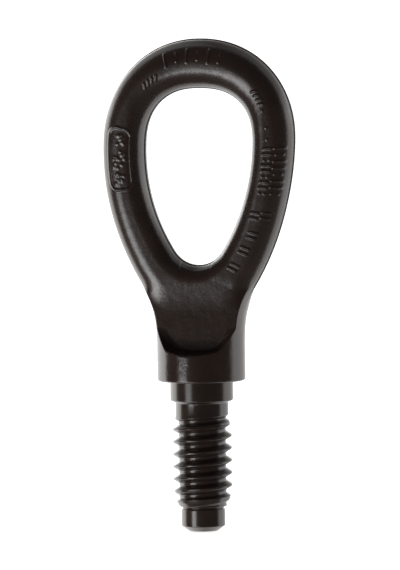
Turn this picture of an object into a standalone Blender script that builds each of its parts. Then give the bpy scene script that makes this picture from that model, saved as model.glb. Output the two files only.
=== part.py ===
"""Screw-in towing eye: a drop-forged steel eye bolt with a turned and threaded shank.

The real part is one piece of steel. It is modelled as its natural zones, one object each, with a
narrow gap between neighbours: the pear-shaped eye (crown and two limbs), the flattened neck, the
round collar, and the machined shank (pilot, thread relief, thread and dog point).

Metres, +Z along the bolt towards the eye, Y across the eye. The origin is the centre of the
collar's underside, the face that seats when the eye is screwed home.
"""

import math

import bmesh
import bpy

GAP = 0.0003

# The eye, in its own plane (X across, Z up). Each outline is a superelliptic crown above its widest
# level, and below it a large side arc.
OUTER_LEVEL = 0.0770
OUTER_HALF_WIDTH = 0.03195
OUTER_CROWN_HEIGHT = 0.0335
OUTER_CROWN_EXPONENT = 2.1
OUTER_SIDE_RADIUS = 0.0888
HOLE_LEVEL = 0.0760
HOLE_HALF_WIDTH = 0.0178
HOLE_CROWN_HEIGHT = 0.0184
HOLE_CROWN_EXPONENT = 2.4
HOLE_SIDE_RADIUS = 0.0647
HOLE_BOTTOM_RADIUS = 0.0094

# The forging isn't quite true: the neck sits a little to the left of the bolt's axis, and the crown
# to the right of it. Each offset grows over a span of heights.
NECK_OFFSET = -0.0003
NECK_OFFSET_SPAN = (0.0225, 0.0305)
CROWN_OFFSET = 0.0014
CROWN_OFFSET_SPAN = (0.050, 0.114)

# Thickness of the forging across the eye's plane.
EYE_HALF_DEPTH = 0.0075
SECTION_EXPONENT = 2.25
SECTION_ROUNDING = 0.007

# Where a limb ends and the neck begins, as the angle run along the outer side arc and as the angle
# of the hole's bottom arc from straight down.
LIMB_END_OUTER_ANGLE = math.radians(30.5)
LIMB_END_HOLE_ANGLE = math.radians(35.4)

# The neck is a slab with round sides and a sunk flat face. Towards the round collar the face ends
# at a U-shaped wall, which fades out upwards, and at a step across its bottom.
COLLAR_RADIUS = 0.0142
COLLAR_TOP = 0.0065
COLLAR_EDGE = 0.0005
NECK_ROOT_HALF_WIDTH = 0.0144
NECK_BLEND_RADIUS = 0.027
NECK_TAPER = (0.0110, 0.0195)
NECK_TO_EYE = (0.023, 0.033)
POCKET_FLOOR = 0.0059
POCKET_CENTRE = 0.0245
POCKET_REACH = 0.0143
POCKET_HALF_WIDTH = 0.0100
POCKET_EXPONENT = 3.0
POCKET_FILLET = 0.0010
WALL_TOP = 0.0173
WALL_SLOPE = 4.5
STEP_LEVEL = 0.0102
STEP_SLOPE = 4.0
EDGE_BLEND = 0.0004

# The machined shank, from the collar down.
PILOT_RADIUS = 0.01015
PILOT_END = -0.0066
PILOT_CHAMFER = 0.0003
RELIEF_RADIUS = 0.0085
RELIEF_END = -0.0108
THREAD_RADIUS = 0.0096
THREAD_ROOT_RADIUS = 0.0076
THREAD_PITCH = 0.004
THREAD_END = -0.0411
THREAD_CREST = 0.0007
THREAD_BASE = 0.0024
THREAD_START_LEVEL = -0.0015
THREAD_START_ANGLE = math.radians(45)
THREAD_LEAD_IN = 0.0030
DOG_RADIUS = 0.00705
DOG_END = -0.0488
DOG_CHAMFER = 0.0017
DOG_FACE_RADIUS = 0.0047

SECTION_POINTS = 20
CROWN_STATIONS = 28
LIMB_STATIONS = 14
NECK_ROWS = 22
SPLIT_COLUMNS = 9
ARC_COLUMNS = 8
ROUND_STEPS = 48
THREAD_STEPS = 24


# Outlines of the eye


def power(value, exponent):
    """The value's size to an exponent, with its sign kept."""
    return math.copysign(abs(value) ** exponent, value)


def crown_point(angle, half_width, level, height, exponent):
    """Point of a superelliptic crown, at an angle from +X towards +Z."""
    x = half_width * power(math.cos(angle), 2 / exponent)
    z = level + height * power(math.sin(angle), 2 / exponent)
    return x, z


def hole_bottom():
    """Height of the centre of the hole's bottom arc, which is tangent to both side arcs."""
    across = HOLE_SIDE_RADIUS - HOLE_HALF_WIDTH
    apart = HOLE_SIDE_RADIUS - HOLE_BOTTOM_RADIUS
    return HOLE_LEVEL - math.sqrt(apart**2 - across**2)


def hole_side_angle():
    """Angle of the hole's side arc from its widest level to where the bottom arc begins."""
    across = HOLE_SIDE_RADIUS - HOLE_HALF_WIDTH
    return math.acos(across / (HOLE_SIDE_RADIUS - HOLE_BOTTOM_RADIUS))


def sideways(z):
    """How far the forging sits to the right of the axis at height z."""
    neck = NECK_OFFSET * smooth_step(z, *NECK_OFFSET_SPAN)
    return neck + (CROWN_OFFSET - neck) * smooth_step(z, *CROWN_OFFSET_SPAN)


def outer_side_point(angle):
    """Point of the right-hand outer side arc, at an angle down from the widest level."""
    x = OUTER_HALF_WIDTH - OUTER_SIDE_RADIUS * (1 - math.cos(angle))
    return x, OUTER_LEVEL - OUTER_SIDE_RADIUS * math.sin(angle)


def hole_side_point(share):
    """Point of the hole's right-hand side, at a share of the way from widest level to limb end."""
    side_angle = hole_side_angle()
    arc_angle = math.pi / 2 - LIMB_END_HOLE_ANGLE - side_angle
    side_length = HOLE_SIDE_RADIUS * side_angle
    run = share * (side_length + HOLE_BOTTOM_RADIUS * arc_angle)
    if run <= side_length:
        angle = run / HOLE_SIDE_RADIUS
        x = HOLE_HALF_WIDTH - HOLE_SIDE_RADIUS * (1 - math.cos(angle))
        return x, HOLE_LEVEL - HOLE_SIDE_RADIUS * math.sin(angle)
    angle = side_angle + (run - side_length) / HOLE_BOTTOM_RADIUS
    x = HOLE_BOTTOM_RADIUS * math.cos(angle)
    return x, hole_bottom() - HOLE_BOTTOM_RADIUS * math.sin(angle)


def smooth_step(value, low, high):
    """0 below low, 1 above high, and a smooth rise between."""
    share = min(1.0, max(0.0, (value - low) / (high - low)))
    return share * share * (3 - 2 * share)


def neck_half_width(z):
    """Half width of the forging from the collar up to the side arcs, at height z."""
    across = NECK_ROOT_HALF_WIDTH + NECK_BLEND_RADIUS + OUTER_SIDE_RADIUS - OUTER_HALF_WIDTH
    apart = OUTER_SIDE_RADIUS + NECK_BLEND_RADIUS
    rise = math.sqrt(apart**2 - across**2)
    blend_level = OUTER_LEVEL - rise
    tangent_level = OUTER_LEVEL - rise * OUTER_SIDE_RADIUS / apart
    if z >= tangent_level:
        drop = OUTER_LEVEL - z
        reach = math.sqrt(OUTER_SIDE_RADIUS**2 - drop**2)
        return OUTER_HALF_WIDTH - OUTER_SIDE_RADIUS + reach
    above = max(0.0, z - blend_level)
    reach = math.sqrt(NECK_BLEND_RADIUS**2 - above**2)
    width = NECK_ROOT_HALF_WIDTH + NECK_BLEND_RADIUS - reach
    share = smooth_step(z, *NECK_TAPER)
    return COLLAR_RADIUS + (width - COLLAR_RADIUS) * share


# Thickness of the neck


def rounding(distance, reach, exponent):
    """Rise of a rounded side from 0 at its edge to 1 at its reach."""
    left = max(0.0, 1 - distance / reach)
    return max(0.0, 1 - left**exponent) ** (1 / exponent)


def smooth_minimum(a, b, blend):
    share = min(1.0, max(0.0, 0.5 + 0.5 * (b - a) / blend))
    return b + (a - b) * share - blend * share * (1 - share)


def pocket_half_depth(x, z):
    """Half thickness of the neck at its sunk face and the wall round it."""
    down = max(0.0, POCKET_CENTRE - z) / POCKET_REACH
    across = abs(x) / POCKET_HALF_WIDTH
    place = (across**POCKET_EXPONENT + down**POCKET_EXPONENT) ** (1 / POCKET_EXPONENT)
    wall = WALL_SLOPE * max(0.0, WALL_TOP - z) * max(0.0, place - 1)
    climb = wall + STEP_SLOPE * max(0.0, STEP_LEVEL - z)
    return POCKET_FLOOR + math.hypot(climb, POCKET_FILLET) - POCKET_FILLET


def neck_half_depth(x, z):
    """Half thickness of the neck at a place in the eye's plane."""
    width = neck_half_width(z)
    across = min(1.0, abs(x) / width)
    round_side = width * math.sqrt(1 - across**2)
    neck = smooth_minimum(round_side, pocket_half_depth(x, z), EDGE_BLEND)
    slope = (neck_half_width(z + 0.0005) - width) / 0.0005
    edge = (width - abs(x)) / math.hypot(1, slope)
    eye = EYE_HALF_DEPTH * rounding(max(0.0, edge), SECTION_ROUNDING, SECTION_EXPONENT)
    depth = neck + (eye - neck) * smooth_step(z, *NECK_TO_EYE)
    hole = math.hypot(x, z - hole_bottom()) - HOLE_BOTTOM_RADIUS
    return max(0.0, depth) * rounding(max(0.0, hole), SECTION_ROUNDING, SECTION_EXPONENT)


# Meshes


def object_from(name, bm, collection, material):
    """Closes up a bmesh, turns its faces out and makes it an object."""
    bmesh.ops.recalc_face_normals(bm, faces=bm.faces)
    mesh = bpy.data.meshes.new(name)
    bm.to_mesh(mesh)
    bm.free()
    obj = bpy.data.objects.new(name, mesh)
    collection.objects.link(obj)
    mesh.materials.append(material)
    mesh.shade_smooth()
    mesh.set_sharp_from_angle(angle=math.radians(35))
    return obj


def loft(bm, rings):
    """Skins closed rings of equal length and caps both ends."""
    loops = [[bm.verts.new(point) for point in ring] for ring in rings]
    count = len(loops[0])
    for low, high in zip(loops, loops[1:]):
        for i in range(count):
            j = (i + 1) % count
            bm.faces.new((low[i], low[j], high[j], high[i]))
    bm.faces.new(reversed(loops[0]))
    bm.faces.new(loops[-1])


def eye_section(outer, inner):
    """Rounded section of the eye between a point of its outer edge and one of its hole."""
    centre = [(a + b) / 2 for a, b in zip(outer, inner)]
    half = [(a - b) / 2 for a, b in zip(outer, inner)]
    ring = []
    for step in range(SECTION_POINTS):
        angle = 2 * math.pi * step / SECTION_POINTS
        across = power(math.cos(angle), 2 / SECTION_EXPONENT)
        depth = EYE_HALF_DEPTH * power(math.sin(angle), 2 / SECTION_EXPONENT)
        z = centre[1] + half[1] * across
        ring.append((centre[0] + half[0] * across, depth, z))
    return ring


def shift_to_true(ring):
    """Moves a section of the eye sideways by as much as the forging is out of true there."""
    return [(x + sideways(z), y, z) for x, y, z in ring]


def make_crown(collection, material):
    rings = []
    for step in range(CROWN_STATIONS + 1):
        angle = math.pi * step / CROWN_STATIONS
        outer = crown_point(
            angle, OUTER_HALF_WIDTH, OUTER_LEVEL, OUTER_CROWN_HEIGHT, OUTER_CROWN_EXPONENT
        )
        inner = crown_point(
            angle, HOLE_HALF_WIDTH, HOLE_LEVEL, HOLE_CROWN_HEIGHT, HOLE_CROWN_EXPONENT
        )
        rings.append(shift_to_true(eye_section(outer, inner)))
    bm = bmesh.new()
    loft(bm, rings)
    return object_from("eye_crown", bm, collection, material)


def limb_ends(share):
    """Outer and hole point of the right limb, at a share of its length down from the widest level."""
    return outer_side_point(share * LIMB_END_OUTER_ANGLE), hole_side_point(share)


def make_limb(name, side, collection, material):
    """A limb of the eye; side is 1 on the right and -1 on the left."""
    length = OUTER_SIDE_RADIUS * LIMB_END_OUTER_ANGLE
    margin = 1.3 * GAP / length
    rings = []
    for step in range(LIMB_STATIONS + 1):
        share = margin + (1 - 2 * margin) * step / LIMB_STATIONS
        outer, inner = limb_ends(share)
        ring = [(side * x, y, z) for x, y, z in eye_section(outer, inner)]
        rings.append(shift_to_true(ring))
    bm = bmesh.new()
    loft(bm, rings)
    return object_from(name, bm, collection, material)


def neck_top_line():
    """The neck's upper edge: down the left split, round the hole's bottom, and up the right split."""
    outer, inner = limb_ends(1.0)
    split = []
    for step in range(SPLIT_COLUMNS + 1):
        share = (1 - math.cos(math.pi * step / SPLIT_COLUMNS)) / 2
        split.append([a + (b - a) * share for a, b in zip(outer, inner)])
    arc = []
    for step in range(1, ARC_COLUMNS):
        angle = LIMB_END_HOLE_ANGLE * (1 - 2 * step / ARC_COLUMNS)
        height = hole_bottom() - HOLE_BOTTOM_RADIUS * math.cos(angle)
        arc.append([-HOLE_BOTTOM_RADIUS * math.sin(angle), height])
    left = [[-x, z] for x, z in split]
    return left + arc + split[::-1]


def neck_rows():
    """Rows of places in the eye's plane, from the V-shaped top line to a level row on the collar."""
    top = neck_top_line()
    top_width, top_level = -top[0][0], top[0][1]
    bottom_level = COLLAR_TOP + GAP
    rows = []
    for step in range(NECK_ROWS + 1):
        share = step / NECK_ROWS
        level = top_level + (bottom_level - top_level) * share
        width = neck_half_width(level) / top_width
        lift = (1 - share) ** 1.5
        rows.append([(x * width, level + (z - top_level) * lift) for x, z in top])
    return rows


def make_neck(collection, material):
    """The neck as a front and a back sheet that share the points where its thickness is nothing."""
    bm = bmesh.new()
    fronts, backs = [], []
    for row in neck_rows():
        front, back = [], []
        for i, (x, z) in enumerate(row):
            edge = i in (0, len(row) - 1)
            depth = 0.0 if edge else neck_half_depth(x, z)
            true_x = x + sideways(z)
            vert = bm.verts.new((true_x, -depth, z))
            front.append(vert)
            back.append(vert if depth < GAP / 100 else bm.verts.new((true_x, depth, z)))
        fronts.append(front)
        backs.append(back)
    for sheet in (fronts, backs):
        for high, low in zip(sheet, sheet[1:]):
            for i in range(len(high) - 1):
                bm.faces.new((high[i], high[i + 1], low[i + 1], low[i]))
    bmesh.ops.holes_fill(bm, edges=[edge for edge in bm.edges if edge.is_boundary])
    return object_from("neck", bm, collection, material)


def make_turned(name, profile, collection, material):
    """A solid of revolution about Z. The profile is (radius, height) pairs, from top to bottom."""
    mesh = bpy.data.meshes.new(name)
    points = [(radius, 0.0, height) for radius, height in profile]
    mesh.from_pydata(points, [(i, i + 1) for i in range(len(points) - 1)], [])
    obj = bpy.data.objects.new(name, mesh)
    collection.objects.link(obj)
    mesh.materials.append(material)
    screw = obj.modifiers.new("Turn", "SCREW")
    screw.steps = ROUND_STEPS
    screw.render_steps = ROUND_STEPS
    screw.use_merge_vertices = True
    screw.merge_threshold = 0.000001
    screw.use_smooth_shade = True
    return obj


def make_collar(collection, material):
    """The collar. Its underside is parted where the seating ring meets the pilot."""
    profile = [
        (0.0, COLLAR_TOP),
        (COLLAR_RADIUS, COLLAR_TOP),
        (COLLAR_RADIUS, COLLAR_EDGE),
        (COLLAR_RADIUS - COLLAR_EDGE * 0.3, COLLAR_EDGE * 0.3),
        (COLLAR_RADIUS - COLLAR_EDGE, 0.0),
        (PILOT_RADIUS + GAP, 0.0),
        (0.0, 0.0),
    ]
    return make_turned("collar", profile, collection, material)


def make_pilot(collection, material):
    profile = [
        (0.0, -GAP),
        (PILOT_RADIUS, -GAP),
        (PILOT_RADIUS, PILOT_END + PILOT_CHAMFER),
        (PILOT_RADIUS - PILOT_CHAMFER, PILOT_END),
        (0.0, PILOT_END),
    ]
    return make_turned("pilot", profile, collection, material)


def make_relief(collection, material):
    top = PILOT_END - GAP
    profile = [
        (0.0, top),
        (RELIEF_RADIUS, top),
        (RELIEF_RADIUS, RELIEF_END),
        (0.0, RELIEF_END),
    ]
    return make_turned("thread_relief", profile, collection, material)


def make_dog_point(collection, material):
    top = THREAD_END - GAP
    profile = [
        (0.0, top),
        (DOG_RADIUS, top),
        (DOG_RADIUS, DOG_END + DOG_CHAMFER),
        (DOG_FACE_RADIUS, DOG_END),
        (0.0, DOG_END),
    ]
    return make_turned("dog_point", profile, collection, material)


def make_ridge(collection):
    """The helical ridge of the thread, longer than the thread at both ends, as a closed solid."""
    start = THREAD_END - THREAD_PITCH
    turns = math.ceil((RELIEF_END - start) / THREAD_PITCH) + 1
    start = THREAD_START_LEVEL + THREAD_PITCH * math.floor(start / THREAD_PITCH)
    inside = THREAD_ROOT_RADIUS - GAP
    corners = [
        (inside, start + THREAD_BASE / 2),
        (THREAD_RADIUS, start + THREAD_CREST / 2),
        (THREAD_RADIUS, start - THREAD_CREST / 2),
        (inside, start - THREAD_BASE / 2),
    ]
    loops = []
    for step in range(turns * THREAD_STEPS + 1):
        angle = THREAD_START_ANGLE + 2 * math.pi * step / THREAD_STEPS
        rise = THREAD_PITCH * step / THREAD_STEPS
        loops.append(
            [(r * math.cos(angle), r * math.sin(angle), z + rise) for r, z in corners]
        )
    bm = bmesh.new()
    loft(bm, loops)
    bmesh.ops.recalc_face_normals(bm, faces=bm.faces)
    mesh = bpy.data.meshes.new("thread_ridge")
    bm.to_mesh(mesh)
    bm.free()
    ridge = bpy.data.objects.new("thread_ridge", mesh)
    collection.objects.link(ridge)
    return ridge


def thread_envelope(collection, material):
    """The turned blank that cuts the thread back to a lead-in at both ends, and clears its crests."""
    top = RELIEF_END - GAP
    radius = THREAD_RADIUS + GAP / 3
    profile = [
        (0.0, top),
        (THREAD_ROOT_RADIUS, top),
        (radius, top - THREAD_LEAD_IN),
        (radius, THREAD_END + THREAD_LEAD_IN),
        (THREAD_ROOT_RADIUS - GAP, THREAD_END),
        (0.0, THREAD_END),
    ]
    return make_turned("thread_blank", profile, collection, material)


def hide_helper(obj):
    obj.hide_render = True
    obj.display_type = "WIRE"


def make_thread(collection, helpers, material):
    """The threaded length: a core with the ridge joined on, cut back to the turned blank."""
    margin = 0.1 * THREAD_PITCH
    profile = [
        (0.0, RELIEF_END - GAP + margin),
        (THREAD_ROOT_RADIUS, RELIEF_END - GAP + margin),
        (THREAD_ROOT_RADIUS, THREAD_END - margin),
        (0.0, THREAD_END - margin),
    ]
    thread = make_turned("threaded_shank", profile, collection, material)
    thread.modifiers["Turn"].use_smooth_shade = False
    for helper, operation in (
        (make_ridge(helpers), "UNION"),
        (thread_envelope(helpers, material), "INTERSECT"),
    ):
        hide_helper(helper)
        join = thread.modifiers.new(helper.name, "BOOLEAN")
        join.operation = operation
        join.solver = "EXACT"
        join.object = helper
    return thread


# Materials


def steel(name, colour, roughness, metallic):
    material = bpy.data.materials.new(name)
    material.use_nodes = True
    shader = material.node_tree.nodes["Principled BSDF"]
    shader.inputs["Base Color"].default_value = (*colour, 1.0)
    shader.inputs["Roughness"].default_value = roughness
    shader.inputs["Metallic"].default_value = metallic
    return material


def clear_scene():
    for obj in list(bpy.data.objects):
        bpy.data.objects.remove(obj, do_unlink=True)


def new_collection(name):
    collection = bpy.data.collections.new(name)
    bpy.context.scene.collection.children.link(collection)
    return collection


def main():
    clear_scene()
    parts = new_collection("towing_eye")
    helpers = new_collection("helpers")
    forged = steel("black_coated_forging", (0.018, 0.016, 0.014), 0.45, 0.3)
    turned = steel("black_coated_turned_steel", (0.016, 0.014, 0.013), 0.3, 0.5)
    make_crown(parts, forged)
    make_limb("left_limb", -1, parts, forged)
    make_limb("right_limb", 1, parts, forged)
    make_neck(parts, forged)
    make_collar(parts, forged)
    make_pilot(parts, turned)
    make_relief(parts, turned)
    make_thread(parts, helpers, turned)
    make_dog_point(parts, turned)


main()
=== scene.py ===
"""Looks of the screw-in towing eye: one continuous forged skin, one continuous turned and threaded
skin, their black coats, and a plain studio. Metres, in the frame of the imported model."""

import math

import bpy
import numpy as np
from mathutils import Matrix, Vector


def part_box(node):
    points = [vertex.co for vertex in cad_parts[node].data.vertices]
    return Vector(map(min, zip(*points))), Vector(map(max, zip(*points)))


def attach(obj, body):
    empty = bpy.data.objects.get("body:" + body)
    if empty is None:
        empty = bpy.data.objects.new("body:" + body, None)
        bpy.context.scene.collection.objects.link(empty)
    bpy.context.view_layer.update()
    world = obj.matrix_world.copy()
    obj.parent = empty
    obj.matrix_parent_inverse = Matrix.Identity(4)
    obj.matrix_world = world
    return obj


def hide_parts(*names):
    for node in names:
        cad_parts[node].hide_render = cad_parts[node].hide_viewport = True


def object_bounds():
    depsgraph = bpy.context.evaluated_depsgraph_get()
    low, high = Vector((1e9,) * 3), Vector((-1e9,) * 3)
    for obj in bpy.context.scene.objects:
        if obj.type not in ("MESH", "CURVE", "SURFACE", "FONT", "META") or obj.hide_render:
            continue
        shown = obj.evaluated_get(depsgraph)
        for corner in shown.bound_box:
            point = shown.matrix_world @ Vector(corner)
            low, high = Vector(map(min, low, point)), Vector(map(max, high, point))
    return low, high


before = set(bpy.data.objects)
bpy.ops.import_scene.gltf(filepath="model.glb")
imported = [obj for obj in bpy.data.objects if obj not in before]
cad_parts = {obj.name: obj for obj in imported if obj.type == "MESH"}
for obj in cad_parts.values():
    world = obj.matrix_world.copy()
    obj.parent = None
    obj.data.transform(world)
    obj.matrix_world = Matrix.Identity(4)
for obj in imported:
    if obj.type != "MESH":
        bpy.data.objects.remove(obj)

CAD_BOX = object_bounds()

CROWN_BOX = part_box("eye_crown")
COLLAR_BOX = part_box("collar")
PILOT_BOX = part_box("pilot")
RELIEF_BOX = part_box("thread_relief")
THREAD_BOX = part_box("threaded_shank")
DOG_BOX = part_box("dog_point")

# Outline of the eye in its own plane (X across, Z up), as in the CAD model.
OUTER_LEVEL = 0.0770
OUTER_HALF_WIDTH = 0.03195
OUTER_CROWN_HEIGHT = CROWN_BOX[1].z - OUTER_LEVEL
OUTER_CROWN_EXPONENT = 2.1
OUTER_SIDE_RADIUS = 0.0888
HOLE_LEVEL = 0.0760
HOLE_HALF_WIDTH = 0.0178
HOLE_CROWN_HEIGHT = 0.0184
HOLE_CROWN_EXPONENT = 2.4
HOLE_SIDE_RADIUS = 0.0647
HOLE_BOTTOM_RADIUS = 0.0094
LIMB_END_OUTER_ANGLE = math.radians(30.5)
LIMB_END_HOLE_ANGLE = math.radians(35.4)
NECK_OFFSET = -0.0003
NECK_OFFSET_SPAN = (0.0225, 0.0305)
CROWN_OFFSET = 0.0014
CROWN_OFFSET_SPAN = (0.050, 0.114)

# Section of the eye: its half thickness, how far its edges are rounded, and the flash between the
# two halves of the forging. The rounding at the hole grows over a span above the hole's widest level.
EYE_HALF_DEPTH = CROWN_BOX[1].y
LIMB_FOOT_DEPTH = 0.0067
LIMB_SWELL = (0.032, 0.070)
SECTION_EXPONENT = 2.25
SECTION_ROUNDING = 0.007
HOLE_ROUNDING = 0.0056
CROWN_HOLE_ROUNDING = 0.0092
CROWN_ROUNDING_SPAN = (0.004, 0.016)
FLASH_INSET = 0.0003
OUTER_FLASH_HALF = 0.0002
HOLE_FLASH_HALF = 0.0008
FLASH_ROUNDING = 0.00012
FLASH_BLEND = 0.0004
FLASH_FOOT = (0.008, 0.012)

# Collar, and the neck with its sunk face.
COLLAR_RADIUS = COLLAR_BOX[1].x
COLLAR_EDGE = 0.0005
NECK_ROOT_HALF_WIDTH = 0.0144
NECK_BLEND_RADIUS = 0.027
NECK_TAPER = (0.0110, 0.0195)
NECK_TO_EYE = (0.0225, 0.036)
POCKET_FLOOR = 0.0059
POCKET_CENTRE = 0.0245
POCKET_REACH = 0.0143
POCKET_HALF_WIDTH = 0.0100
POCKET_EXPONENT = 3.0
POCKET_FILLET = 0.0010
WALL_TOP = 0.0173
WALL_SLOPE = 4.5
STEP_LEVEL = 0.0102
STEP_SLOPE = 4.0
EDGE_BLEND = 0.0004

# Machined shank.
PILOT_RADIUS = PILOT_BOX[1].x
PILOT_END = PILOT_BOX[0].z
PILOT_CHAMFER = 0.0003
RELIEF_RADIUS = RELIEF_BOX[1].x
THREAD_TOP = RELIEF_BOX[0].z
THREAD_BOTTOM = THREAD_BOX[0].z
THREAD_RADIUS = THREAD_BOX[1].x
THREAD_ROOT_RADIUS = 0.0076
THREAD_PITCH = 0.004
THREAD_RIGHT_CREST = -0.0020
THREAD_CREST = 0.0005
THREAD_FLANK = 0.00125
THREAD_NECK_RADIUS = 0.0066
DOG_RADIUS = DOG_BOX[1].x
DOG_END = DOG_BOX[0].z
DOG_CHAMFER = 0.0017
DOG_FACE_RADIUS = 0.0047


# ---------------------------------------------------------------- outlines


def power(value, exponent):
    """The value's size to an exponent, with its sign kept."""
    return np.sign(value) * np.abs(value) ** exponent


def smooth_step(value, low, high):
    share = np.clip((value - low) / (high - low), 0, 1)
    return share * share * (3 - 2 * share)


def smooth_minimum(a, b, blend):
    share = np.clip(0.5 + 0.5 * (b - a) / blend, 0, 1)
    return b + (a - b) * share - blend * share * (1 - share)


def smooth_maximum(a, b, blend):
    return -smooth_minimum(-a, -b, blend)


def rounding(distance, reach, exponent):
    """Rise of a rounded side from 0 at its edge to 1 at its reach."""
    left = np.clip(1 - distance / reach, 0, 1)
    return np.clip(1 - left**exponent, 0, 1) ** (1 / exponent)


def crown_line(angle, half_width, level, height, exponent):
    x = half_width * power(np.cos(angle), 2 / exponent)
    z = level + height * power(np.sin(angle), 2 / exponent)
    return np.stack([x, z], axis=-1)


HOLE_ACROSS = HOLE_SIDE_RADIUS - HOLE_HALF_WIDTH
HOLE_APART = HOLE_SIDE_RADIUS - HOLE_BOTTOM_RADIUS
HOLE_BOTTOM = HOLE_LEVEL - math.sqrt(HOLE_APART**2 - HOLE_ACROSS**2)
HOLE_SIDE_ANGLE = math.acos(HOLE_ACROSS / HOLE_APART)


def sideways(z):
    """How far the forging sits to the right of the axis at height z."""
    neck = NECK_OFFSET * smooth_step(z, *NECK_OFFSET_SPAN)
    return neck + (CROWN_OFFSET - neck) * smooth_step(z, *CROWN_OFFSET_SPAN)


def outer_side_line(share):
    angle = share * LIMB_END_OUTER_ANGLE
    x = OUTER_HALF_WIDTH - OUTER_SIDE_RADIUS * (1 - np.cos(angle))
    return np.stack([x, OUTER_LEVEL - OUTER_SIDE_RADIUS * np.sin(angle)], axis=-1)


def hole_side_line(share):
    """The hole's right-hand side, by share of the way from widest level to limb end."""
    arc_angle = math.pi / 2 - LIMB_END_HOLE_ANGLE - HOLE_SIDE_ANGLE
    side_length = HOLE_SIDE_RADIUS * HOLE_SIDE_ANGLE
    run = share * (side_length + HOLE_BOTTOM_RADIUS * arc_angle)
    angle = np.minimum(run, side_length) / HOLE_SIDE_RADIUS
    x = HOLE_HALF_WIDTH - HOLE_SIDE_RADIUS * (1 - np.cos(angle))
    z = HOLE_LEVEL - HOLE_SIDE_RADIUS * np.sin(angle)
    turn = HOLE_SIDE_ANGLE + (run - side_length) / HOLE_BOTTOM_RADIUS
    on_arc = run > side_length
    x = np.where(on_arc, HOLE_BOTTOM_RADIUS * np.cos(turn), x)
    z = np.where(on_arc, HOLE_BOTTOM - HOLE_BOTTOM_RADIUS * np.sin(turn), z)
    return np.stack([x, z], axis=-1)


def neck_half_width(z):
    """Half width of the forging from the collar up to the side arcs, at height z."""
    across = NECK_ROOT_HALF_WIDTH + NECK_BLEND_RADIUS + OUTER_SIDE_RADIUS - OUTER_HALF_WIDTH
    apart = OUTER_SIDE_RADIUS + NECK_BLEND_RADIUS
    rise = math.sqrt(apart**2 - across**2)
    blend_level = OUTER_LEVEL - rise
    tangent_level = OUTER_LEVEL - rise * OUTER_SIDE_RADIUS / apart
    drop = np.minimum(OUTER_LEVEL - z, OUTER_SIDE_RADIUS)
    side = OUTER_HALF_WIDTH - OUTER_SIDE_RADIUS + np.sqrt(OUTER_SIDE_RADIUS**2 - drop**2)
    above = np.clip(z - blend_level, 0, NECK_BLEND_RADIUS)
    blend = NECK_ROOT_HALF_WIDTH + NECK_BLEND_RADIUS - np.sqrt(NECK_BLEND_RADIUS**2 - above**2)
    blend = COLLAR_RADIUS + (blend - COLLAR_RADIUS) * smooth_step(z, *NECK_TAPER)
    return np.where(z >= tangent_level, side, blend)


# ---------------------------------------------------------------- thickness


def flash_land(to_outer, to_hole):
    """Half thickness of the trimmed flash that runs round the parting line."""
    outer = OUTER_FLASH_HALF * rounding(to_outer, FLASH_ROUNDING, 2)
    inner = HOLE_FLASH_HALF * rounding(to_hole, FLASH_ROUNDING, 2)
    share = smooth_step(to_outer - to_hole, -0.002, 0.002)
    return (outer + (HOLE_FLASH_HALF - outer) * share) * (inner / HOLE_FLASH_HALF)


def eye_depth(z, to_outer, to_hole, outer_reach, hole_reach):
    """Half thickness of the eye, from the distances to its outer edge and to its hole."""
    outer = rounding(to_outer - FLASH_INSET, outer_reach, SECTION_EXPONENT)
    inner = rounding(to_hole - FLASH_INSET, hole_reach, SECTION_EXPONENT)
    share = smooth_step(z, *LIMB_SWELL)
    return (LIMB_FOOT_DEPTH + (EYE_HALF_DEPTH - LIMB_FOOT_DEPTH) * share) * outer * inner


def pocket_depth(x, z):
    """Half thickness of the neck at its sunk face and the wall round it."""
    down = np.maximum(0, POCKET_CENTRE - z) / POCKET_REACH
    across = np.abs(x) / POCKET_HALF_WIDTH
    place = (across**POCKET_EXPONENT + down**POCKET_EXPONENT) ** (1 / POCKET_EXPONENT)
    wall = WALL_SLOPE * np.maximum(0, WALL_TOP - z) * np.maximum(0, place - 1)
    climb = wall + STEP_SLOPE * np.maximum(0, STEP_LEVEL - z)
    return POCKET_FLOOR + np.hypot(climb, POCKET_FILLET) - POCKET_FILLET


def outline_distance(x, z):
    width = neck_half_width(z)
    slope = (neck_half_width(z + 0.0005) - neck_half_width(z - 0.0005)) / 0.001
    return np.maximum(0, (width - np.abs(x)) / np.hypot(1, slope))


def neck_depth(x, z, hole):
    width = neck_half_width(z)
    across = np.clip(np.abs(x) / width, 0, 1)
    round_side = width * np.sqrt(1 - across**2)
    depth = smooth_minimum(round_side, pocket_depth(x, z), EDGE_BLEND)
    return np.maximum(0, depth) * rounding(hole, SECTION_ROUNDING, SECTION_EXPONENT)


# ---------------------------------------------------------------- raised marks

# Plain bars and dots stand in for the forging marks on the front. Places are given as a bearing
# round the eye, in degrees clockwise from its top, and a distance outward from the middle line.
MARK_HEIGHT = 0.00032
MARK_REACH = 0.00052
FRAME_BEARING = -101.8
FRAME_HALF_SIZE = (0.0100, 0.0037)
FRAME_CORNER = 0.0026
FRAME_DOTS = 34
CROWN_ROW = (-2.6, 0.0029)
CROWN_ROW_COUNT = 6
CROWN_ROW_SPACING = 0.0034
TICK_ROWS = ((-36.9, -0.0010), (54.4, 0.0))
TICK_COUNT = 4
TICK_SPACING = 0.0016
DOT_BEARINGS = (64.3, 77.6, 86.5)
DOT_OUT = -0.0004
BAR_SPAN = (91.3, 126.1)
# Distance outward, half length and number of bars in each column of the right limb.
BAR_COLUMNS = ((-0.0002, 0.0014, 9), (0.0038, 0.0017, 8))
BAR_PAIRS = ((136.5, 0.0026), (137.5, -0.0008), (147.0, 0.0006), (154.0, 0.0), (161.2, -0.0004))


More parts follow.
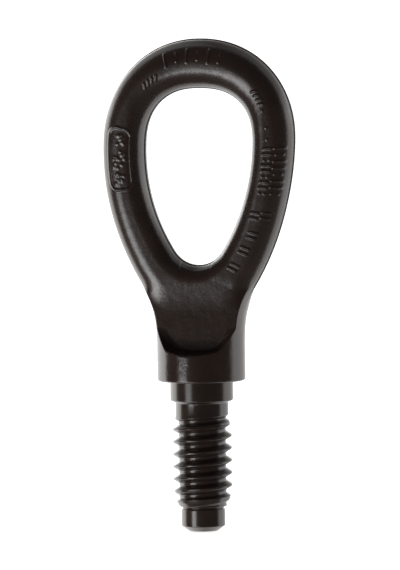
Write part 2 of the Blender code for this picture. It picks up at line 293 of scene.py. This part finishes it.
def segment_distance(s, a, start, end):
    """Distance from points to a straight segment."""
    run = np.subtract(end, start)
    along = ((s - start[0]) * run[0] + (a - start[1]) * run[1]) / max(run @ run, 1e-12)
    along = np.clip(along, 0, 1)
    return np.hypot(s - start[0] - along * run[0], a - start[1] - along * run[1])


def mark_rows(bearings, run):
    """Bars and dots as segments: (distance along the eye, distance outward) at both ends."""

    def along(degrees):
        return np.interp(math.radians(degrees), bearings, run)

    def dot(s, out):
        return (s, out), (s, out)

    marks = []
    bearing, out = CROWN_ROW
    for step in range(CROWN_ROW_COUNT):
        s = along(bearing) + (step - (CROWN_ROW_COUNT - 1) / 2) * CROWN_ROW_SPACING
        if step % 2:
            marks += [dot(s, out - 0.0012), dot(s, out + 0.0012)]
        else:
            marks.append(((s, out - 0.0020), (s, out + 0.0020)))
    for bearing, out in TICK_ROWS:
        for step in range(TICK_COUNT):
            s = along(bearing) + (step - (TICK_COUNT - 1) / 2) * TICK_SPACING
            marks.append(((s - 0.0004, out - 0.0007), (s + 0.0004, out + 0.0007)))
    marks += [dot(along(bearing), DOT_OUT) for bearing in DOT_BEARINGS]
    first, last = along(BAR_SPAN[0]), along(BAR_SPAN[1])
    for column, (out, half, count) in enumerate(BAR_COLUMNS):
        for step in range(count):
            s = first + (last - first) * (step + 0.5) / count
            if (step + column) % 3 == 2:
                marks += [dot(s, out - half * 0.6), dot(s, out + half * 0.6)]
            else:
                marks.append(((s, out - half), (s, out + half)))
    for bearing, out in BAR_PAIRS:
        for side in (-1, 1):
            s = along(bearing) + side * 0.0009
            marks.append(((s, out - 0.0013), (s, out + 0.0013)))
    return marks


def frame_rise(s, a):
    """A raised rounded frame with a rough field of dots inside it; s is measured from its centre."""
    over_s = np.abs(s) - (FRAME_HALF_SIZE[0] - FRAME_CORNER)
    over_a = np.abs(a) - (FRAME_HALF_SIZE[1] - FRAME_CORNER)
    outside = np.hypot(np.maximum(over_s, 0), np.maximum(over_a, 0))
    distance = outside + np.minimum(np.maximum(over_s, over_a), 0) - FRAME_CORNER
    rise = 1 - smooth_step(np.abs(distance), 0.00008, MARK_REACH)
    random = np.random.default_rng(4)
    for _ in range(FRAME_DOTS):
        centre = (random.uniform(-0.0085, 0.0085), random.uniform(-0.0022, 0.0022))
        size = random.uniform(0.0005, 0.0010)
        near = np.hypot(s - centre[0], a - centre[1])
        rise = np.maximum(rise, 0.6 * (1 - smooth_step(near, 0.0001, size)))
    return rise


def raised_marks(outers, inners, across):
    """Height of the marks over the front of the eye."""
    middle = (outers + inners) / 2
    steps = np.linalg.norm(np.diff(middle, axis=0), axis=1)
    run = np.concatenate([[0.0], np.cumsum(steps)])
    bearings = np.unwrap(np.arctan2(middle[:, 0], middle[:, 1] - OUTER_LEVEL))
    s = np.broadcast_to(run[:, None], across.shape)
    frame_at = np.interp(math.radians(FRAME_BEARING), bearings, run)
    rise = frame_rise(s - frame_at, across)
    for start, end in mark_rows(bearings, run):
        near = segment_distance(s, across, start, end)
        rise = np.maximum(rise, 1 - smooth_step(near, 0.00008, MARK_REACH))
    return MARK_HEIGHT * rise


# ---------------------------------------------------------------- mesh helpers


def mesh_object(name, points, faces, material):
    mesh = bpy.data.meshes.new(name)
    mesh.from_pydata(points.tolist(), [], faces)
    mesh.validate()
    mesh.update()
    obj = bpy.data.objects.new(name, mesh)
    bpy.context.scene.collection.objects.link(obj)
    mesh.materials.append(material)
    mesh.shade_smooth()
    return obj


def grid_faces(index, flip):
    """Quads of a grid of vertex numbers, leaving out those that have collapsed."""
    a, b = index[:-1, :-1].ravel(), index[:-1, 1:].ravel()
    c, d = index[1:, 1:].ravel(), index[1:, :-1].ravel()
    quads = np.stack([a, b, c, d] if not flip else [d, c, b, a], axis=1)
    faces = []
    for quad in quads.tolist():
        kept = [v for i, v in enumerate(quad) if v != quad[i - 1]]
        if len(set(kept)) >= 3:
            faces.append(kept)
    return faces


# ---------------------------------------------------------------- forged skin

ACROSS = 96
LIMB_STEPS = 200
CROWN_STEPS = 380
ARC_STEPS = 44
NECK_STEPS = 170
NECK_BASE = 0.003
EXACT_SHARE = 0.15


def across_shares():
    return (1 - np.cos(np.pi * np.arange(ACROSS + 1) / ACROSS)) / 2


def eye_rows():
    """Outer and hole ends of every row round the eye, from the left split to the right one."""
    limb = np.linspace(1, 0, LIMB_STEPS + 1)[:-1]
    outer, inner = outer_side_line(limb), hole_side_line(limb)
    mirror = np.array([-1, 1])
    angle = np.linspace(math.pi, 0, CROWN_STEPS + 1)
    crown_outer = crown_line(
        angle, OUTER_HALF_WIDTH, OUTER_LEVEL, OUTER_CROWN_HEIGHT, OUTER_CROWN_EXPONENT
    )
    crown_inner = crown_line(
        angle, HOLE_HALF_WIDTH, HOLE_LEVEL, HOLE_CROWN_HEIGHT, HOLE_CROWN_EXPONENT
    )
    outers = np.concatenate([outer * mirror, crown_outer, outer[::-1]])
    inners = np.concatenate([inner * mirror, crown_inner, inner[::-1]])
    return outers, inners


def eye_patch():
    """Places, half thickness and marks of the eye: rows round it, columns from the outer edge in."""
    outers, inners = eye_rows()
    shares = across_shares()[None, :, None]
    places = outers[:, None, :] + (inners - outers)[:, None, :] * shares
    length = np.linalg.norm(inners - outers, axis=1)[:, None]
    to_outer = across_shares()[None, :] * length
    reach = length / 2 - FLASH_INSET
    at_crown = smooth_step(places[:, -1:, 1] - HOLE_LEVEL, *CROWN_ROUNDING_SPAN)
    hole_reach = HOLE_ROUNDING + (CROWN_HOLE_ROUNDING - HOLE_ROUNDING) * at_crown
    body = eye_depth(places[..., 1], to_outer, length - to_outer, reach, hole_reach)
    land = flash_land(to_outer, length - to_outer)
    marks = raised_marks(outers, inners, length / 2 - to_outer)
    return places, smooth_maximum(body, land, FLASH_BLEND) * (land > 0), marks


def matched(distance, first_row, share):
    """Scales distances so that the first row has the given ones, by a share that fades below it."""
    tiny = 0.00001
    return distance * (1 + ((first_row + tiny) / (distance[0] + tiny) - 1) * share)


def neck_patch(first_row, last_row):
    """Places and half thickness below the eye: rows from the V-shaped split to the collar."""
    angle = LIMB_END_HOLE_ANGLE * (1 - 2 * np.arange(1, ARC_STEPS) / ARC_STEPS)
    arc = np.stack(
        [-HOLE_BOTTOM_RADIUS * np.sin(angle), HOLE_BOTTOM - HOLE_BOTTOM_RADIUS * np.cos(angle)],
        axis=-1,
    )
    top = np.concatenate([first_row, arc, last_row[::-1]])
    share = np.linspace(0, 1, NECK_STEPS + 1)[:, None] ** 1.5
    level = top[0, 1] + (NECK_BASE - top[0, 1]) * share
    width = neck_half_width(level) / top[-1, 0]
    x = top[None, :, 0] * width
    z = level + (top[None, :, 1] - top[0, 1]) * (1 - share) ** 1.5
    span = np.linalg.norm(first_row[-1] - first_row[0])
    column = np.arange(len(top))
    split = np.minimum(column, column[::-1])
    exact = 1 - smooth_step(share, 0, EXACT_SHARE)
    run = across_shares()[np.minimum(split, ACROSS)] * span
    edge = outline_distance(x, z)
    hole = np.maximum(0, np.hypot(x, z - HOLE_BOTTOM) - HOLE_BOTTOM_RADIUS)
    on_split = split <= ACROSS
    edge = matched(edge, np.where(on_split, run, edge[0]), exact)
    hole = matched(hole, np.where(on_split, span - run, hole[0]), exact)
    reach = span / 2 - FLASH_INSET
    eye = eye_depth(z, edge, hole, reach, HOLE_ROUNDING)
    neck = neck_depth(x, z, hole)
    to_eye = smooth_step(z, *NECK_TO_EYE)
    body = neck + (eye - neck) * (to_eye + (1 - to_eye) * exact)
    land = flash_land(edge, hole) * smooth_step(z, *FLASH_FOOT)
    depth = smooth_maximum(body, land, FLASH_BLEND)
    depth[:, [0, -1]] = 0
    depth[0, ACROSS : len(top) - ACROSS] = 0
    return np.stack([x, z], axis=-1), depth


def build_forging(material):
    eye, eye_half, marks = eye_patch()
    eye_half[:, [0, -1]] = 0
    neck, neck_half = neck_patch(eye[0], eye[-1])
    columns = neck.shape[1]
    points, index = [], {}
    for side in (-1, 1):
        eye_index = np.zeros(eye.shape[:2], int)
        neck_index = np.zeros(neck.shape[:2], int)
        shown = eye_half + marks * (side < 0)
        for patch, half, table in ((eye, shown, eye_index), (neck, neck_half, neck_index)):
            start = len(points)
            flat = np.stack([patch[..., 0], side * half, patch[..., 1]], axis=-1).reshape(-1, 3)
            table[:] = start + np.arange(len(flat)).reshape(table.shape)
            points.extend(flat.tolist())
        neck_index[0, : ACROSS + 1] = eye_index[0]
        neck_index[0, columns - ACROSS - 1 :] = eye_index[-1][::-1]
        index[side] = (eye_index, neck_index)
    front, back = index[-1], index[1]
    back[0][:, [0, -1]] = front[0][:, [0, -1]]
    back[1][:, [0, -1]] = front[1][:, [0, -1]]
    back[1][0, ACROSS : columns - ACROSS] = front[1][0, ACROSS : columns - ACROSS]
    faces = grid_faces(front[0], False) + grid_faces(front[1], True)
    faces += grid_faces(back[0], True) + grid_faces(back[1], False)
    rim = np.concatenate([front[1][-1], back[1][-1][::-1][1:-1]])
    points = np.array(points)
    ring = points[rim]
    turn = np.arctan2(ring[:, 1], ring[:, 0])
    loops = [rim]
    edge = [
        (COLLAR_RADIUS, COLLAR_EDGE * 1.6),
        (COLLAR_RADIUS, COLLAR_EDGE),
        (COLLAR_RADIUS - COLLAR_EDGE * 0.12, COLLAR_EDGE * 0.55),
        (COLLAR_RADIUS - COLLAR_EDGE * 0.4, COLLAR_EDGE * 0.2),
        (COLLAR_RADIUS - COLLAR_EDGE * 0.85, 0.0),
        (COLLAR_RADIUS - COLLAR_EDGE * 1.6, 0.0),
        (PILOT_RADIUS * 0.9, 0.0),
    ]
    for radius, level in edge:
        loop = np.stack([radius * np.cos(turn), radius * np.sin(turn), np.full(len(turn), level)], 1)
        loops.append(len(points) + np.arange(len(loop)))
        points = np.concatenate([points, loop])
    for high, low in zip(loops, loops[1:]):
        table = np.stack([np.append(high, high[0]), np.append(low, low[0])])
        faces += grid_faces(table, True)
    faces.append(loops[-1][::-1].tolist())
    points[:, 0] += sideways(points[:, 2])
    points[:, 0] = np.clip(points[:, 0], CAD_BOX[0].x, CAD_BOX[1].x)
    return mesh_object("forged_skin", points, faces, material)


# ---------------------------------------------------------------- turned and threaded skin

ROUND_STEPS = 160
THREAD_ROW = 0.00011


def rounded_profile(corners, radius, steps=4):
    """A turned profile with each inner corner replaced by a short arc-like curve."""
    corners = [np.array(c, float) for c in corners]
    line = [corners[0]]
    for before, corner, after in zip(corners, corners[1:], corners[2:]):
        back, ahead = before - corner, after - corner
        cut = min(radius, np.linalg.norm(back) / 3, np.linalg.norm(ahead) / 3)
        start = corner + back / np.linalg.norm(back) * cut
        end = corner + ahead / np.linalg.norm(ahead) * cut
        line.append(corner + back / np.linalg.norm(back) * cut * 1.3)
        for step in range(steps + 1):
            t = step / steps
            line.append((1 - t) ** 2 * start + 2 * t * (1 - t) * corner + t * t * end)
        line.append(corner + ahead / np.linalg.norm(ahead) * cut * 1.3)
    line.append(corners[-1])
    return line


def thread_rise(theta, z):
    """Share of the thread's height at a place: 0 in the root and 1 on the crest."""
    crest = THREAD_RIGHT_CREST + THREAD_PITCH * theta / (2 * math.pi)
    off = np.abs((z - crest + THREAD_PITCH / 2) % THREAD_PITCH - THREAD_PITCH / 2)
    rise = 1 - (off - THREAD_CREST / 2) / THREAD_FLANK
    rise = smooth_minimum(rise, np.full_like(rise, 1.0), 0.12)
    return smooth_maximum(rise, np.full_like(rise, 0.0), 0.16)


ENVELOPE = [
    (THREAD_TOP, RELIEF_RADIUS),
    (-0.0117, 0.0086),
    (-0.0141, 0.0090),
    (-0.0154, THREAD_RADIUS),
    (-0.0340, THREAD_RADIUS),
    (-0.0357, 0.00916),
    (-0.0377, 0.0089),
    (-0.0394, 0.00839),
    (-0.0407, 0.0077),
    (THREAD_BOTTOM, THREAD_NECK_RADIUS),
]


def thread_radius(theta, z):
    levels = [level for level, _ in ENVELOPE][::-1]
    radii = [radius for _, radius in ENVELOPE][::-1]
    envelope = np.interp(z, levels, radii)
    cut = THREAD_ROOT_RADIUS + (THREAD_RADIUS - THREAD_ROOT_RADIUS) * thread_rise(theta, z)
    fade = smooth_step(-z, -THREAD_TOP, 0.0125)
    inside = smooth_minimum(envelope, cut, 0.00015)
    return envelope + (inside - envelope) * fade


def build_shank(material):
    theta = 2 * math.pi * np.arange(ROUND_STEPS) / ROUND_STEPS
    upper = rounded_profile(
        [
            (PILOT_RADIUS - 0.0002, 0.0004),
            (PILOT_RADIUS, 0.0002),
            (PILOT_RADIUS, PILOT_END + PILOT_CHAMFER),
            (PILOT_RADIUS - PILOT_CHAMFER, PILOT_END),
            (RELIEF_RADIUS + 0.0006, PILOT_END - 0.00002),
            (RELIEF_RADIUS, PILOT_END - 0.0006),
            (RELIEF_RADIUS, THREAD_TOP),
        ],
        0.0003,
    )
    lower = rounded_profile(
        [
            (THREAD_NECK_RADIUS, THREAD_BOTTOM),
            (DOG_RADIUS - 0.0002, THREAD_BOTTOM - 0.0004),
            (DOG_RADIUS, THREAD_BOTTOM - 0.0007),
            (DOG_RADIUS, DOG_END + DOG_CHAMFER),
            (DOG_FACE_RADIUS, DOG_END),
            (0.0005, DOG_END),
        ],
        0.00022,
    )
    rows = [(np.full(ROUND_STEPS, r), np.full(ROUND_STEPS, z)) for r, z in upper]
    count = int((THREAD_TOP - THREAD_BOTTOM) / THREAD_ROW)
    for z in np.linspace(THREAD_TOP, THREAD_BOTTOM, count + 1)[1:-1]:
        level = np.full(ROUND_STEPS, z)
        rows.append((thread_radius(theta, level), level))
    rows += [(np.full(ROUND_STEPS, r), np.full(ROUND_STEPS, z)) for r, z in lower]
    points = np.concatenate(
        [np.stack([r * np.cos(theta), r * np.sin(theta), z], axis=1) for r, z in rows]
    )
    table = np.arange(len(points)).reshape(len(rows), ROUND_STEPS)
    table = np.concatenate([table, table[:, :1]], axis=1)
    faces = grid_faces(table, True)
    faces.append(table[0, :-1].tolist())
    faces.append(table[-1, :-1][::-1].tolist())
    return mesh_object("turned_shank_skin", points, faces, material)


# ---------------------------------------------------------------- materials


class Nodes:
    """A short way to add and join shader nodes."""

    def __init__(self, tree):
        self.tree = tree

    def add(self, kind, inputs=None, **settings):
        node = self.tree.nodes.new(kind)
        for name, value in settings.items():
            setattr(node, name, value)
        for name, value in (inputs or {}).items():
            if hasattr(value, "is_output"):
                self.tree.links.new(value, node.inputs[name])
            else:
                node.inputs[name].default_value = value
        return node

    def math(self, operation, a, b=0.0, c=0.0):
        return self.add("ShaderNodeMath", {0: a, 1: b, 2: c}, operation=operation).outputs[0]

    def ramp(self, fac, stops):
        node = self.add("ShaderNodeValToRGB", {"Fac": fac})
        elements = node.color_ramp.elements
        while len(elements) < len(stops):
            elements.new(0.5)
        for element, (place, value) in zip(elements, stops):
            element.position = place
            colour = value if isinstance(value, tuple) else (value, value, value)
            element.color = (*colour, 1.0)
        return node.outputs["Color"]


def new_material(name):
    material = bpy.data.materials.new(name)
    material.use_nodes = True
    tree = material.node_tree
    shader = tree.nodes["Principled BSDF"]
    return material, Nodes(tree), shader


def forged_coat():
    """Black dip coat over a drop-forged surface: pebbled, satin, a little brown in its depth."""
    material, n, shader = new_material("forged_coat")
    place = n.add("ShaderNodeTexCoord").outputs["Object"]
    pebbles = n.add(
        "ShaderNodeTexNoise",
        {"Vector": place, "Scale": 1500.0, "Detail": 3.0, "Roughness": 0.55},
    ).outputs["Fac"]
    dents = n.add(
        "ShaderNodeTexNoise",
        {"Vector": place, "Scale": 300.0, "Detail": 2.0, "Roughness": 0.5},
    ).outputs["Fac"]
    patches = n.add(
        "ShaderNodeTexNoise",
        {"Vector": place, "Scale": 120.0, "Detail": 4.0, "Roughness": 0.6},
    ).outputs["Fac"]
    colour = n.ramp(patches, [(0.35, (0.024, 0.0135, 0.0100)), (0.7, (0.034, 0.0200, 0.0150))])
    height = n.add("ShaderNodeSeparateXYZ", {"Vector": place}).outputs["Z"]
    rougher = n.add(
        "ShaderNodeMapRange",
        {"Value": height, "From Min": 0.020, "From Max": 0.040, "To Min": 0.12, "To Max": 0.20},
    ).outputs["Result"]
    shade = n.math("MULTIPLY_ADD", pebbles, 0.14, rougher)
    n.tree.links.new(colour, shader.inputs["Base Color"])
    n.tree.links.new(shade, shader.inputs["Roughness"])
    coarse = n.add("ShaderNodeBump", {"Strength": 0.4, "Distance": 0.00018, "Height": dents})
    fine = n.add(
        "ShaderNodeBump",
        {"Strength": 0.5, "Distance": 0.00005, "Height": pebbles, "Normal": coarse.outputs[0]},
    )
    n.tree.links.new(fine.outputs[0], shader.inputs["Normal"])
    shader.inputs["IOR"].default_value = 1.5
    return material


def turned_coat():
    """The same coat over turned steel: smoother, with faint lines round the shank."""
    material, n, shader = new_material("turned_coat")
    place = n.add("ShaderNodeTexCoord").outputs["Object"]
    stretched = n.add(
        "ShaderNodeMapping", {"Vector": place, "Scale": (150.0, 150.0, 6000.0)}
    ).outputs[0]
    lines = n.add(
        "ShaderNodeTexNoise", {"Vector": stretched, "Scale": 1.0, "Detail": 2.0}
    ).outputs["Fac"]
    grain = n.add(
        "ShaderNodeTexNoise", {"Vector": place, "Scale": 1400.0, "Detail": 3.0}
    ).outputs["Fac"]
    patches = n.add(
        "ShaderNodeTexNoise", {"Vector": place, "Scale": 200.0, "Detail": 4.0}
    ).outputs["Fac"]
    colour = n.ramp(patches, [(0.35, (0.024, 0.0150, 0.0115)), (0.7, (0.034, 0.0220, 0.0170))])
    shade = n.math("MULTIPLY_ADD", grain, 0.10, 0.15)
    n.tree.links.new(colour, shader.inputs["Base Color"])
    n.tree.links.new(shade, shader.inputs["Roughness"])
    first = n.add("ShaderNodeBump", {"Strength": 0.4, "Distance": 0.00001, "Height": lines})
    second = n.add(
        "ShaderNodeBump",
        {"Strength": 0.4, "Distance": 0.00003, "Height": grain, "Normal": first.outputs[0]},
    )
    n.tree.links.new(second.outputs[0], shader.inputs["Normal"])
    shader.inputs["IOR"].default_value = 1.5
    return material


# ---------------------------------------------------------------- studio

VIEW_DISTANCE = 5.0
VIEW_AZIMUTH = math.radians(15.0)
VIEW_ELEVATION = math.radians(4.6)
VIEW_ROLL = math.radians(-0.78)
FRAME_HEIGHT_AT_PART = 0.1839
AIM_HEIGHT = 0.03075
SENSOR = 36.0
FLOOR_HALF = 3.0
FLOOR_GAP = 0.0002
WORLD_STRENGTH = 3.5
SOFTBOX_DISTANCE = 1.0


def facing(bearing, elevation):
    """Direction from the part at a bearing to the camera's right and an elevation."""
    turn = VIEW_AZIMUTH + bearing
    level = math.cos(elevation)
    return Vector((math.sin(turn) * level, -math.cos(turn) * level, math.sin(elevation)))


def make_camera():
    data = bpy.data.cameras.new("camera")
    camera = bpy.data.objects.new("camera", data)
    bpy.context.scene.collection.objects.link(camera)
    aim = Vector((-0.0001, 0, AIM_HEIGHT))
    back = facing(0, VIEW_ELEVATION)
    turn = (-back).to_track_quat("-Z", "Y").to_matrix() @ Matrix.Rotation(VIEW_ROLL, 3, "Z")
    camera.matrix_world = Matrix.Translation(aim + back * VIEW_DISTANCE) @ turn.to_4x4()
    data.sensor_width = SENSOR
    data.lens = SENSOR * VIEW_DISTANCE / FRAME_HEIGHT_AT_PART
    data.clip_start, data.clip_end = 0.05, 20
    bpy.context.scene.camera = camera


def make_floor():
    """A plain pale sheet that the bolt stands on."""
    material, n, shader = new_material("pale_floor")
    place = n.add("ShaderNodeTexCoord").outputs["Object"]
    mottle = n.add("ShaderNodeTexNoise", {"Vector": place, "Scale": 30.0, "Detail": 2.0}).outputs[0]
    colour = n.ramp(mottle, [(0.3, (0.93, 0.93, 0.92)), (0.7, (0.95, 0.95, 0.94))])
    n.tree.links.new(colour, shader.inputs["Base Color"])
    shader.inputs["Roughness"].default_value = 0.8
    shader.inputs["Emission Color"].default_value = (1, 1, 1, 1)
    shader.inputs["Emission Strength"].default_value = 0.85
    corners = ((-1, -1), (1, -1), (1, 1), (-1, 1))
    points = np.array([(x * FLOOR_HALF, y * FLOOR_HALF, DOG_END - FLOOR_GAP) for x, y in corners])
    floor = mesh_object("pale_floor", points, [[0, 1, 2, 3]], material)
    floor.visible_glossy = False
    floor.visible_diffuse = False
    floor.visible_shadow = False


def make_world():
    """A bright studio: pale all round behind the part, and dark on the viewer's side of it."""
    world = bpy.data.worlds.new("studio")
    world.use_nodes = True
    bpy.context.scene.world = world
    n = Nodes(world.node_tree)
    direction = n.add("ShaderNodeTexCoord").outputs["Generated"]
    turned = n.add(
        "ShaderNodeMapping", {"Vector": direction, "Rotation": (0.0, 0.0, -VIEW_AZIMUTH)}
    ).outputs[0]
    axes = n.add("ShaderNodeSeparateXYZ", {"Vector": turned})
    x, y, z = axes.outputs
    bearing = n.math("ARCTAN2", x, n.math("MULTIPLY", y, -1.0))
    around = n.math("MULTIPLY_ADD", bearing, 0.5 / math.pi, 0.5)

    def turn(degrees):
        return 0.5 + degrees / 360

    ring = n.ramp(
        around,
        [
            (turn(-180), 0.10),
            (turn(-168), 0.30),
            (turn(-150), 0.55),
            (turn(-125), 0.90),
            (turn(-111), 1.00),
            (turn(-102), 0.05),
            (turn(-88), 0.02),
            (turn(0), 0.012),
            (turn(82), 0.03),
            (turn(92), 0.60),
            (turn(130), 0.40),
            (turn(152), 0.30),
            (turn(180), 0.10),
        ],
    )
    height = n.math("MULTIPLY_ADD", z, 0.5, 0.5)
    fill = n.ramp(
        height,
        [(0.0, 0.02), (0.25, 0.04), (0.45, 0.0), (0.6, 0.0), (0.75, 0.012), (1.0, 0.02)],
    )
    above = n.ramp(height, [(0.5, 1.0), (0.56, 1.4), (0.72, 0.45), (1.0, 0.3)])
    horizon = n.ramp(height, [(0.5, 0.2), (0.53, 1.0), (0.60, 0.5), (0.72, 0.08), (0.8, 0.0)])
    behind = n.ramp(around, [(0.0, 1.0), (turn(-140), 0.0), (turn(140), 0.0), (1.0, 1.0)])
    glow = n.math("MULTIPLY_ADD", horizon, behind, fill)
    total = n.math("ADD", n.math("MULTIPLY", ring, above), glow)
    light = n.math("MULTIPLY", total, WORLD_STRENGTH)
    camera_ray = n.add("ShaderNodeLightPath").outputs["Is Camera Ray"]
    unseen = n.math("SUBTRACT", 1.0, camera_ray)
    strength = n.math("ADD", n.math("MULTIPLY", light, unseen), camera_ray)
    background = world.node_tree.nodes["Background"]
    background.inputs["Color"].default_value = (1, 1, 0.985, 1)
    world.node_tree.links.new(strength, background.inputs["Strength"])


def area_light(name, bearing, elevation, width, height, power_w):
    """A softbox that faces the part. Bearing is degrees to the viewer's right of the camera."""
    data = bpy.data.lights.new(name, "AREA")
    data.shape = "RECTANGLE"
    data.size, data.size_y = width, height
    data.energy = power_w
    light = bpy.data.objects.new(name, data)
    bpy.context.scene.collection.objects.link(light)
    back = facing(math.radians(bearing), math.radians(elevation))
    light.location = Vector((0, 0, AIM_HEIGHT)) + back * SOFTBOX_DISTANCE
    light.rotation_mode = "QUATERNION"
    light.rotation_quaternion = (-back).to_track_quat("-Z", "Y")


def make_lights():
    area_light("left_softbox", -50.5, -19.5, 0.39, 0.42, 4.1)
    area_light("low_softbox", -31, -29, 0.34, 0.12, 1.3)


# ---------------------------------------------------------------- assembly

make_camera()
make_floor()
make_world()
make_lights()
bpy.context.scene.view_settings.view_transform = "Standard"

forging = build_forging(forged_coat())
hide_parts("eye_crown", "left_limb", "right_limb", "neck", "collar")
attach(forging, "root")

shank = build_shank(turned_coat())
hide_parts("pilot", "thread_relief", "threaded_shank", "dog_point")
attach(shank, "root")
